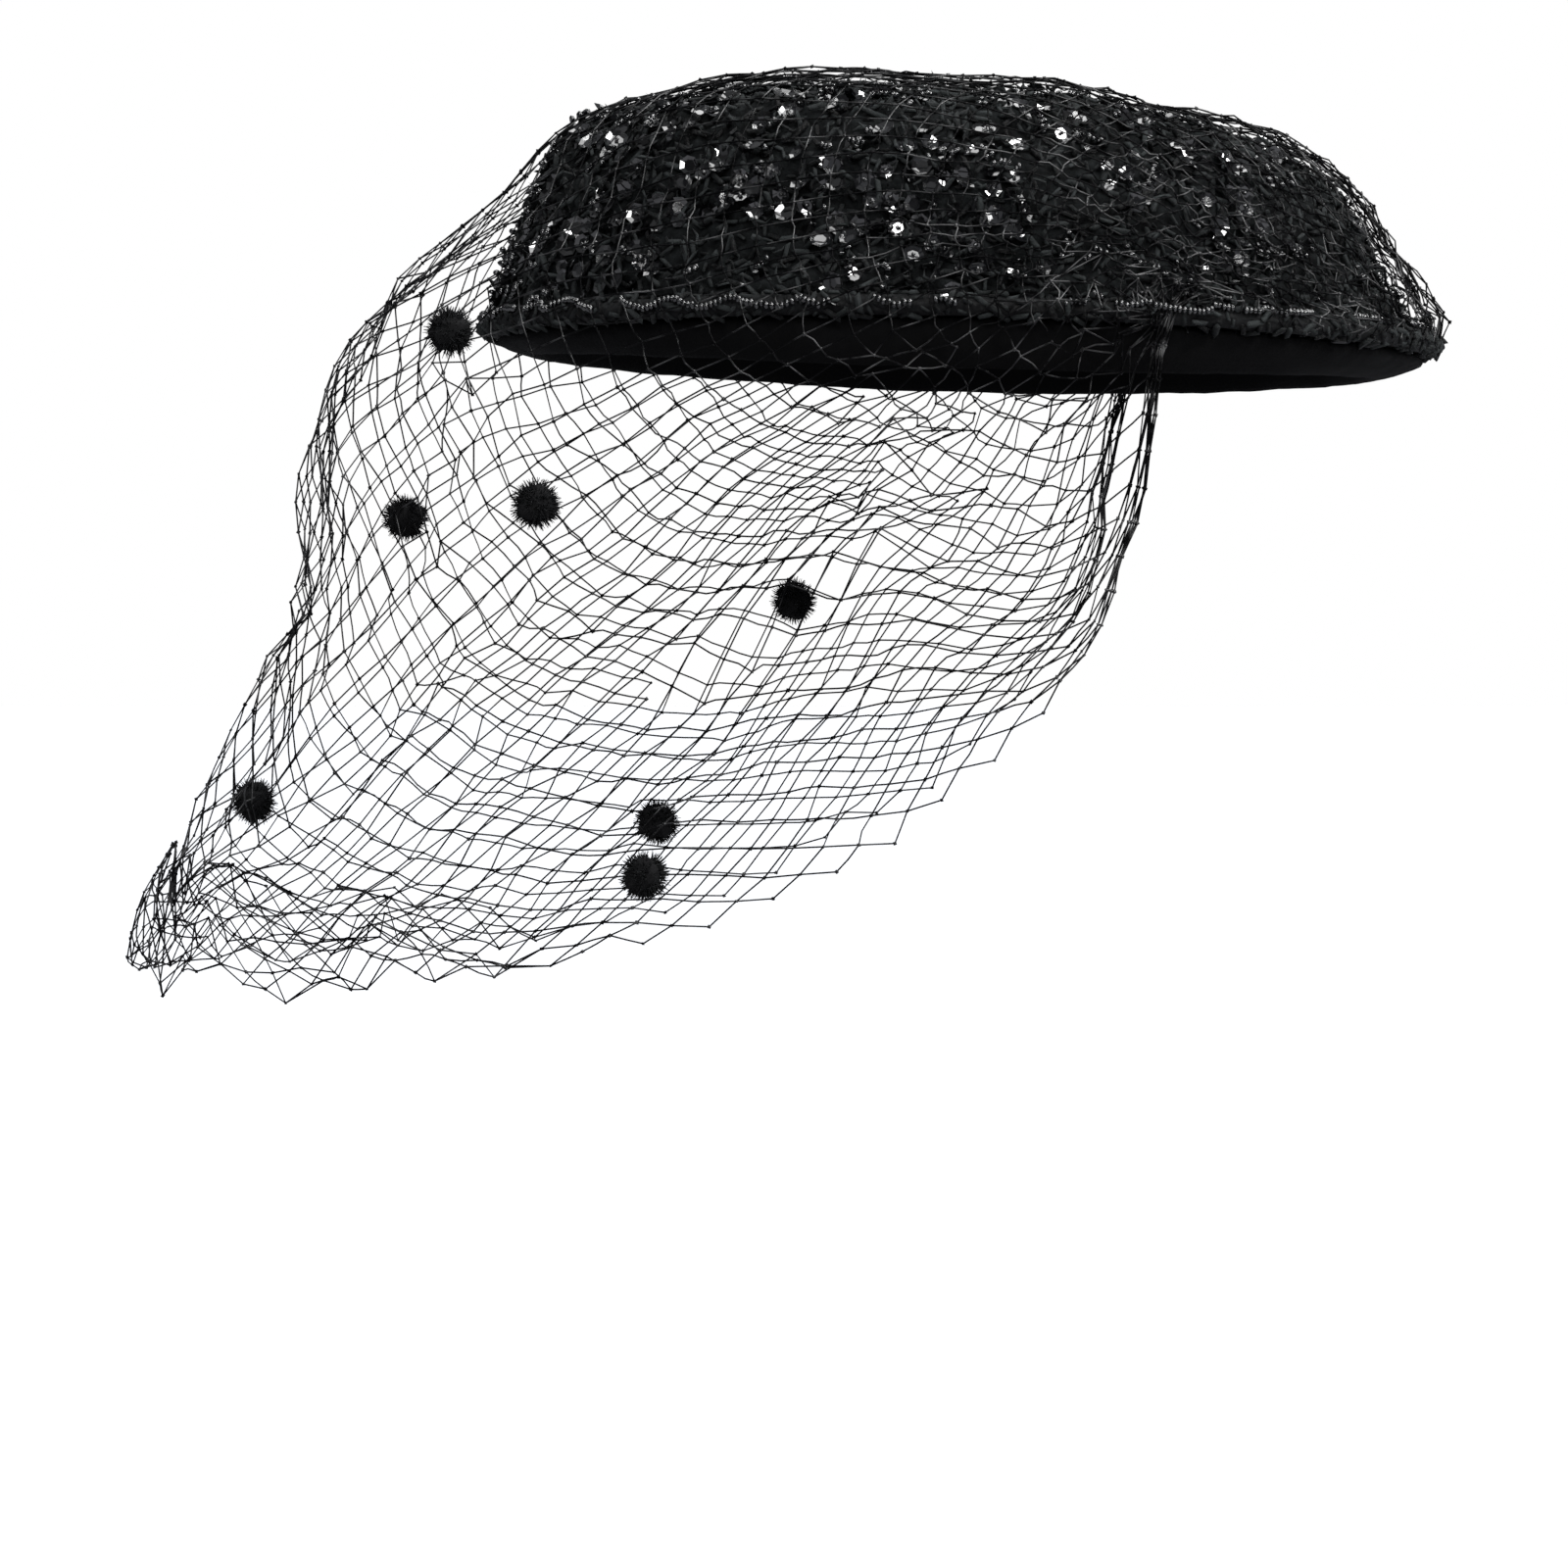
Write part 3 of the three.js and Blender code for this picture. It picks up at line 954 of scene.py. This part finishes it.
def turnedUp(points, plan):
    # the front of the hem is turned up over itself
    turn, rise, reach = spherical(points)
    fold = np.interp(np.degrees(turn), turnGrid, hemRise)
    below = (rise < fold) & (np.abs(turn) < math.radians(plan["turnUpSides"][1]))
    rise[below] = 2 * fold[below] - rise[below]
    reach[below] = gridValue(veilReach, turn[below], rise[below]) + plan["turnUpGap"]
    return placed(turn, rise, reach)


def relaxNet(plan):
    grid = layNet(plan)
    rows, columns = grid.shape[0] - 1, grid.shape[1] - 1
    knots, ids, rowOf, columnOf, sets = netEdges(rows, columns)
    points = grid[knots]
    free = np.ones(len(points))
    for edge, side in ((0, -1), (columns, 1)):
        sewn = columnOf == edge
        sewDown(points, sewn, rowOf / rows, side, plan)
        free[sewn] = 0
    gatherX = np.abs(points[free == 0, 0]).mean()
    gathers = np.array([[side * gatherX, *plan["gather"]] for side in (-1, 1)])
    nearGather = gatherDistance(points, gathers)
    stiff = smoothStep(*plan["gatherLoose"], nearGather)
    nearEven, farEven = plan["evening"]
    evening = []
    for middle, before, after in evenSets(ids, knots):
        pull = (nearEven + (farEven - nearEven) * stiff[middle]) * free[middle]
        evening.append((middle, before, after, pull[:, None]))
    shortest = plan["bar"] * (plan["slackNear"] + (plan["slack"] - plan["slackNear"]) * stiff)
    tucked = (rowOf == rows) & (free > 0)
    hem = (rowOf == 0) & (free > 0)
    strength, *growth = plan["hemHold"]
    hemHold = strength * smoothStep(*growth, nearGather[hem])
    knotSets = (diagonalSets(ids, knots), evening)
    points = hungOnVeil(points, free, tucked, hem, hemHold, sets, knotSets, shortest, stiff, plan)
    free[tucked] = 0
    inRope = (rowOf < plan["rope"][0]) & (nearGather < plan["rope"][2])
    moved = bunched(points, rowOf, columnOf, gathers, plan)
    points = points + (moved - points) * free[:, None]
    shortest = np.where(inRope, plan["bar"] * plan["ropeSlack"], shortest)
    points = settled(points, free, sets, shortest, plan["ropeSteps"], plan)
    points = crumpled(points, free, sets, shortest, plan)
    nearGather = gatherDistance(points, gathers)
    points = caughtByDots(turnedUp(points, plan), free, plan)
    return drawnBars(points, knots, nearGather, plan)


def threadCurve(name, points, a, b, radius):
    curve = bpy.data.curves.new(name, "CURVE")
    curve.dimensions = "3D"
    curve.bevel_depth = radius
    curve.bevel_resolution = 0
    curve.use_fill_caps = False
    for p, q in zip(a, b):
        spline = curve.splines.new("POLY")
        spline.points.add(2)
        first, last = points[p], points[q]
        gap = np.linalg.norm(last - first)
        spare = max(netPlan["bar"] ** 2 - gap ** 2, 0) ** 0.5 / 2
        sag = rng.normal(size=3) * spare * netPlan["threadSag"]
        middle = (first + last) / 2 + sag
        flat = []
        for place in (first, middle, last):
            flat += [*place, 1.0]
        spline.points.foreach_set("co", flat)
    return curve


def threadMaterial(name, dark, light, twist, rough, gloss):
    # fine thread: shade, polish and gloss change along it, with a twist in its surface
    material, tree, shader = shaderMaterial(name)
    _, height, mask = addGrain(tree, twist, mottle=150.0)
    spread = addTint(tree, shader, mask, dark, light)
    spreadInto(tree, spread, shader.inputs["Roughness"], *rough)
    spreadInto(tree, spread, shader.inputs["Specular IOR Level"], *gloss, start=0.45)
    addRelief(tree, shader, 0.5, Distance=0.00005, Height=height)
    return material


veilThread = threadMaterial(
    "blackVeilThread", dark=(0.0008, 0.0008, 0.0009), light=(0.004, 0.004, 0.0045),
    twist=5200, rough=(0.14, 0.42), gloss=(0.04, 1.0),
)


def addNet(plan):
    points, a, b = relaxNet(plan)
    holder = linked("veilThreads", threadCurve("veilThreads", points, a, b, plan["threadRadius"]))
    threads = appliedMesh(holder, "veilThreads")
    bpy.data.objects.remove(holder)
    knot = bmesh.new()
    bmesh.ops.create_uvsphere(knot, u_segments=4, v_segments=2, radius=plan["knotRadius"])
    kept = points[np.unique(np.concatenate([a, b]))]
    turns = rng.normal(size=(len(kept), 4))
    turns /= np.linalg.norm(turns, axis=1)[:, None]
    knots = copiesMesh("veilKnots", knot, kept, turns, plan["knotSizes"])
    bm = bmesh.new()
    bm.from_mesh(threads)
    bm.from_mesh(knots)
    net = newPiece("veilNet", meshFromBmesh("veilNet", bm), veilThread)
    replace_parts(net, "veil")
    print("net piece:", triangleCount(net.data), "triangles")


addNet(netPlan)


# raised stitches, sequins and beads all sit on random places of the cloth
stitchPlan = {
    "halfLong": 0.0018,
    "halfWide": 0.00058,
    "bow": 0.42,  # how far a stitch curves, as a share of its length
    "blunt": 0.7,  # under one, its ends are blunter than a ball's
    "spacing": 0.00186,
    "tries": 60000,  # places tried before the cloth counts as full
    "lift": 0.0004,
    "lifts": (0.2, 2.2),  # shares of the lift
    "upJitter": 0.05,
    "sway": 1.2,  # turn away from straight up the slope
    "flatSway": 2,  # and the greatest turn more where there is no slope
    "level": (0.75, 0.97),  # how level the cloth is there
    "rise": 0.25,  # how far one end stands off the cloth
    "sizes": (0.6, 1.3),
}
curlPlan = dict(
    stitchPlan, halfLong=0.0017, halfWide=0.00028, bow=1.15, spacing=0.0029, tries=30000, lift=0.0009,
    rise=0.16, sizes=(0.7, 1.4),
)
rollPlan = dict(stitchPlan, halfLong=0.0016, spacing=0.0017, tries=12000, lift=0.0002, rise=0.08)


def spinTo(normal, spin):
    return normal.to_track_quat("Z", "Y") @ Matrix.Rotation(spin, 3, "Z").to_quaternion()


def clothSamples(mesh, fits, spacing, tries):
    # random places on the faces that fit, none nearer than the spacing
    faces = [face for face in mesh.polygons if fits(face)]
    areas = np.array([face.area for face in faces])
    picks = rng.choice(len(faces), size=tries, p=areas / areas.sum())
    mixes = rng.random((tries, 2))
    cells, places, normals = {}, [], []
    steps = [(x, y, z) for x in (-1, 0, 1) for y in (-1, 0, 1) for z in (-1, 0, 1)]
    for pick, (a, b) in zip(picks, mixes):
        face = faces[pick]
        corners = [mesh.vertices[k].co for k in face.vertices]
        if len(corners) == 4:
            place = corners[0].lerp(corners[1], a).lerp(corners[3].lerp(corners[2], a), b)
        else:
            if a + b > 1:
                a, b = 1 - a, 1 - b
            place = corners[0] + (corners[1] - corners[0]) * a + (corners[2] - corners[0]) * b
        x, y, z = (int(math.floor(v / spacing)) for v in place)
        if any(
            (other - place).length < spacing
            for dx, dy, dz in steps
            for other in cells.get((x + dx, y + dy, z + dz), ())
        ):
            continue
        cells.setdefault((x, y, z), []).append(place)
        places.append(place)
        normals.append(face.normal.copy())
    return places, normals


def crownTrimmed(face):
    return face.center.z > crownPlan["trimFrom"]


def rollOutside(face):
    flat = Vector((face.center.x, face.center.y, 0)).normalized()
    return face.normal.dot(flat + Vector((0, 0, 0.3))) > -0.1


def stitchShape(plan):
    # a plump, bowed loop of braid with blunt ends
    bm = bmesh.new()
    bmesh.ops.create_uvsphere(bm, u_segments=4, v_segments=3, radius=1)
    for vertex in bm.verts:
        vertex.co.z = math.copysign(abs(vertex.co.z) ** plan["blunt"], vertex.co.z)
    bmesh.ops.scale(bm, verts=bm.verts, vec=(plan["halfWide"], plan["halfWide"], plan["halfLong"]))
    for vertex in bm.verts:
        vertex.co.x += plan["bow"] * plan["halfLong"] * (vertex.co.z / plan["halfLong"]) ** 2
    return bm


def addStitches(name, mesh, fits, plan):
    places, normals = clothSamples(mesh, fits, plan["spacing"], plan["tries"])
    spots, turns = [], []
    for place, normal in zip(places, normals):
        up = Vector((0, 0, 1)) + Vector(rng.normal(size=3)) * plan["upJitter"]
        slope = (up - normal * up.dot(normal)).normalized()
        steep = 1 - smoothStep(*plan["level"], abs(normal.z))
        sway = rng.normal() * plan["sway"]
        sway += (1 - steep) * rng.uniform(-plan["flatSway"], plan["flatSway"])
        slope.rotate(Matrix.Rotation(sway, 3, normal))
        way = (slope + normal * rng.normal() * plan["rise"]).normalized()
        spots.append(place + normal * plan["lift"] * rng.uniform(*plan["lifts"]))
        turns.append(tuple(spinTo(way, rng.random() * math.tau)))
    addCopies(name, stitchShape(plan), spots, turns, plan["sizes"], braidThread)


braidThread = clothMaterial(
    "blackBraidThread", dark=(0.0004, 0.0004, 0.0005), light=(0.0190, 0.0220, 0.0222), grain=2600,
    mottle=1150, bump=0.0008, rough=(0.42, 0.8), sheen=0.015, gloss=0.18, tinted=True,
)
addStitches("braidStitches", crownCloth.data, crownTrimmed, stitchPlan)
addStitches("braidCurls", crownCloth.data, crownTrimmed, curlPlan)
addStitches("rollStitches", rollPiece.data, rollOutside, rollPlan)

trimPlan = {
    "sequinRadius": 0.0018,
    "sequinDepth": 0.0004,
    "sequinFacet": 0.40,  # width of a facet, as a share of the radius
    "sequinFacets": 7,
    "sequinBelly": 2.4,  # how deep its back is, in depths of the cup
    "sequinSpacing": 0.0028,
    "sequinTries": 20000,
    "sequinSizes": (0.8, 1.25),
    "sequinLift": (0.0017, 0.6, 1.5),  # height off the cloth, and its least and greatest share
    "sequinLean": 0.1,
    "sequinJitter": 0.2,
    "sequinDrift": (0.45, 110),
    "sequinGaps": (75, -0.1),  # sequins lie in drifts
    "sequinBack": (0.044, 0.070, 0.45),  # and thin out towards the back of the crown
    "sequinBeaded": 0.4,  # share of them caught down with a bead
    "centreBead": 0.00046,
    "centreSunk": 0.4,
    "centreSizes": (0.85, 1.1),
    "beadRadius": 0.00074,
    "beadFlat": 0.62,
    "beadSizes": (0.88, 1.1),
    "beadPitch": 0.00092,
    "beadLift": (0.0019, 0.8, 1.5),
    "stringSpacing": 0.0078,
    "stringTries": 3000,
    "stringRadius": (0.0028, 0.0062),
    "stringBend": (0.9, 2.6),  # how far round a short string of beads runs
    "stringSteps": 12,
    "stringFlat": 0.8,
    "rimOut": 0.089,  # the rim's string is laid from this far out, at this level
    "rimLevel": 0.0042,
    "rimSteps": 721,
    "rimDrift": 9,
    "rimLift": 0.0009,
    "rimGaps": (110, -0.12),  # some beads of the rim have come off in runs
    "rimWave": (0.0017, 22),  # the rim's string hangs in shallow festoons
}


def sequinShape(plan):
    # a small cup with facets round a flat middle, closed at the back
    bm = bmesh.new()
    r, depth = plan["sequinRadius"], plan["sequinDepth"]
    bmesh.ops.create_circle(bm, cap_ends=True, segments=plan["sequinFacets"], radius=r)
    bmesh.ops.inset_individual(bm, faces=bm.faces[:], thickness=r * plan["sequinFacet"], depth=-depth)
    rim = [edge for edge in bm.edges if edge.is_boundary]
    back = bmesh.ops.edgeloop_fill(bm, edges=rim)
    bmesh.ops.poke(bm, faces=back["faces"], offset=depth * plan["sequinBelly"])
    bmesh.ops.recalc_face_normals(bm, faces=bm.faces)
    return bm


def beadShape(plan):
    bm = bmesh.new()
    bmesh.ops.create_uvsphere(bm, u_segments=7, v_segments=4, radius=plan["beadRadius"])
    bmesh.ops.scale(bm, verts=bm.verts, vec=(1, 1, plan["beadFlat"]))
    return bm


sequinPlastic = glossMaterial(
    "blackSequin", dark=(0.001, 0.001, 0.0012), light=(0.006, 0.0062, 0.007),
    rough=(0.03, 0.14), coat=0.95,
)
beadGlass = glossMaterial(
    "blackSeedBead", dark=(0.001, 0.001, 0.0013), light=(0.005, 0.0055, 0.006),
    rough=(0.05, 0.18), coat=0.7,
)


def addSequins(plan):
    places, normals = clothSamples(
        crownCloth.data, crownTrimmed, plan["sequinSpacing"], plan["sequinTries"],
    )
    lift, *lifts = plan["sequinLift"]
    gapScale, gapLevel = plan["sequinGaps"]
    backFrom, backTo, backLevel = plan["sequinBack"]
    drift, driftScale = plan["sequinDrift"]
    spots, turns, beads, beadTurns = [], [], [], []
    for place, normal in zip(places, normals):
        bare = gapLevel + smoothStep(backFrom, backTo, place.y) * backLevel
        if noise.noise(place * gapScale) < bare:
            continue
        lean = Vector((0, 0, plan["sequinLean"])) * (1 - abs(normal.z))
        # neighbours lean much the same way
        lean += noise.noise_vector(place * driftScale) * drift
        lean = (normal + lean + Vector(rng.normal(size=3)) * plan["sequinJitter"]).normalized()
        spot = place + normal * lift * rng.uniform(*lifts)
        spin = tuple(spinTo(lean, rng.random() * math.tau))
        spots.append(spot)
        turns.append(spin)
        if rng.random() < plan["sequinBeaded"]:
            beads.append(spot - lean * plan["sequinDepth"] * plan["centreSunk"])
            beadTurns.append(spin)
    shape, sizes = sequinShape(plan), plan["sequinSizes"]
    addCopies("sequins", shape, spots, turns, sizes, sequinPlastic, smooth=False)
    centre = bmesh.new()
    bmesh.ops.create_icosphere(centre, subdivisions=1, radius=plan["centreBead"])
    addCopies("sequinBeads", centre, beads, beadTurns, plan["centreSizes"], beadGlass)


addSequins(trimPlan)


def strungBeads(path, tree, lift, pitch):
    # beads at an even pitch along a path laid on the cloth, each turned to its thread
    path = np.array([tuple(place) for place in path])
    along = pathLength(path)
    count = int(along[-1] / pitch)
    line = placesAlong(np.linspace(0, along[-1], count + 1), along, path)
    spots, turns = [], []
    for k in range(count):
        way = Vector(line[k + 1] - line[k]).normalized()
        near = tree.find_nearest(Vector((line[k] + line[k + 1]) / 2))
        spots.append(near[0] + near[1] * lift)
        turns.append(tuple(spinTo(way, rng.random() * math.tau)))
    return spots, turns


def addBeadStrings(plan):
    crownTree = treeOf(crownCloth.data)
    pitch = plan["beadPitch"]
    lift, *lifts = plan["beadLift"]
    low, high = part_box("rim_roll")
    middle = (low.z + high.z) / 2
    deep, waves = plan["rimWave"]
    spots, turns = [], []
    # one string hangs round the top of the roll
    path = []
    for turn in np.linspace(0, math.tau, plan["rimSteps"]):
        drift = noise.noise(Vector((plan["rimDrift"] * turn, 0, 0)))
        wander = drift + 1 - 2 * abs(math.cos(waves * turn + 2 * drift))
        level = Vector((0, 0, middle + plan["rimLevel"] + deep * wander))
        near = coreTree.find_nearest(rayWay(turn, 0) * plan["rimOut"] + level)
        path.append(near[0])
    for spot, turn in zip(*strungBeads(path, coreTree, plan["rimLift"], pitch)):
        if noise.noise(spot * plan["rimGaps"][0]) > plan["rimGaps"][1]:
            spots.append(spot)
            turns.append(turn)
    # short bowed strings over the crown
    places, normals = clothSamples(
        crownCloth.data, crownTrimmed, plan["stringSpacing"], plan["stringTries"],
    )
    for place, normal in zip(places, normals):
        beside = normal.orthogonal().normalized()
        above = normal.cross(beside)
        reach = rng.uniform(*plan["stringRadius"])
        first = rng.random() * math.tau
        path = []
        for bend in np.linspace(first, first + rng.uniform(*plan["stringBend"]), plan["stringSteps"]):
            side = beside * math.cos(bend) * reach
            path.append(place + side + above * math.sin(bend) * reach * plan["stringFlat"])
        moreSpots, moreTurns = strungBeads(path, crownTree, lift * rng.uniform(*lifts), pitch)
        spots += moreSpots
        turns += moreTurns
    addCopies("seedBeads", beadShape(plan), spots, turns, plan["beadSizes"], beadGlass)


addBeadStrings(trimPlan)

chenillePlan = {
    "coreShare": 0.80,  # the core and the fibres' length, as shares of the dot's radius
    "fibreLong": 0.40,
    "lumps": (0.4, 420),
    "fibres": 950,
    "fibreWidth": 0.00026,
    "fibreSeat": 0.9,  # how far out in the core they start
    "fibreBend": 0.28,
    "sizes": (0.35, 1.25),
}
chenilleCloth = clothMaterial(
    "blackChenille", dark=(0.001, 0.001, 0.0012), light=(0.005, 0.005, 0.0055), grain=2600, mottle=500,
    bump=0.0002, rough=(0.8, 0.98), sheen=0.03,
)


def addDot(name, number, plan):
    low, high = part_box(name)
    centre = (low + high) / 2
    radius = (high - low).length / 2 / math.sqrt(3)
    lumps, lumpScale = plan["lumps"]
    core = bmesh.new()
    bmesh.ops.create_icosphere(core, subdivisions=3, radius=radius * plan["coreShare"])
    for vertex in core.verts:
        vertex.co *= 1 + lumps * noise.noise(vertex.co * lumpScale + Vector((number, 0, 0)))
    bmesh.ops.translate(core, verts=core.verts, vec=centre)
    fibre = bmesh.new()
    bmesh.ops.create_cone(
        fibre, segments=3, radius1=plan["fibreWidth"] / 2, radius2=plan["fibreWidth"] / 6,
        depth=radius * plan["fibreLong"], cap_ends=True,
    )
    bmesh.ops.translate(fibre, verts=fibre.verts, vec=(0, 0, radius * plan["fibreLong"] / 2))
    ways = rng.normal(size=(plan["fibres"], 3))
    spots, turns = [], []
    for way in ways:
        way = Vector(way).normalized()
        bent = (way + Vector(rng.normal(size=3)) * plan["fibreBend"]).normalized()
        spots.append(centre + way * radius * plan["coreShare"] * plan["fibreSeat"])
        turns.append(tuple(spinTo(bent, rng.random() * math.tau)))
    core.from_mesh(copiesMesh("fibres" + str(number), fibre, spots, turns, plan["sizes"]))
    pieceName = "chenilleDot" + str(number)
    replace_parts(newPiece(pieceName, meshFromBmesh(pieceName, core), chenilleCloth), name)


for number, dotName in enumerate(dotNames, 1):
    addDot(dotName, number, chenillePlan)
print("dots:", len(dotNames))
